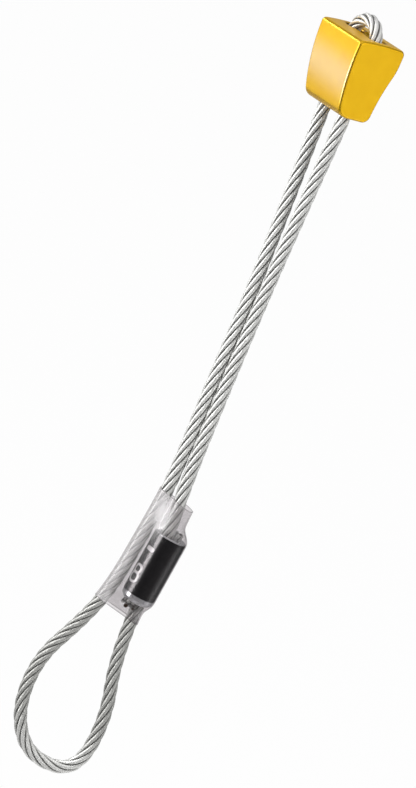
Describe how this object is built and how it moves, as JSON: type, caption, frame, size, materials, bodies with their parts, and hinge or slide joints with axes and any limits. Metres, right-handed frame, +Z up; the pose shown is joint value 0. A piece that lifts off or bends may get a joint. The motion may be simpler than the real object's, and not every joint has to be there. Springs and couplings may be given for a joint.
{
  "type": "wired climbing nut",
  "caption": "Tapered aluminium chock with one convex and one concave face, threaded on a doubled wire rope that is crimped into a clip-in loop under a clear sleeve.",
  "frame": {"origin": "midway between the chock's two bores, at half the chock's height", "axes": "+Z up along the two legs of the rope, from the clip-in loop to the chock; the clip-in loop and the crimp lie in the XZ plane, and the chock is turned 50 degrees about Z"},
  "size_m": [0.0274, 0.0218, 0.2007],
  "materials": {
    "anodised_gold": "satin",
    "stranded_steel": "satin",
    "plated_crimp": "polished",
    "black_label": "gloss",
    "clear_film": "clear"
  },
  "bodies": {
    "head": {"chock_head": "anodised_gold"},
    "wire": {"wire_rope": "stranded_steel", "crimp_ferrule": "plated_crimp", "label_band": "black_label", "clear_sleeve": "clear_film"}
  },
  "joints": [
    {"name": "wire_slide", "type": "slide", "parent": "head", "child": "wire", "axis": [0, 0, 1], "range_m": [-0.0015, 0.0065]}
  ]
}
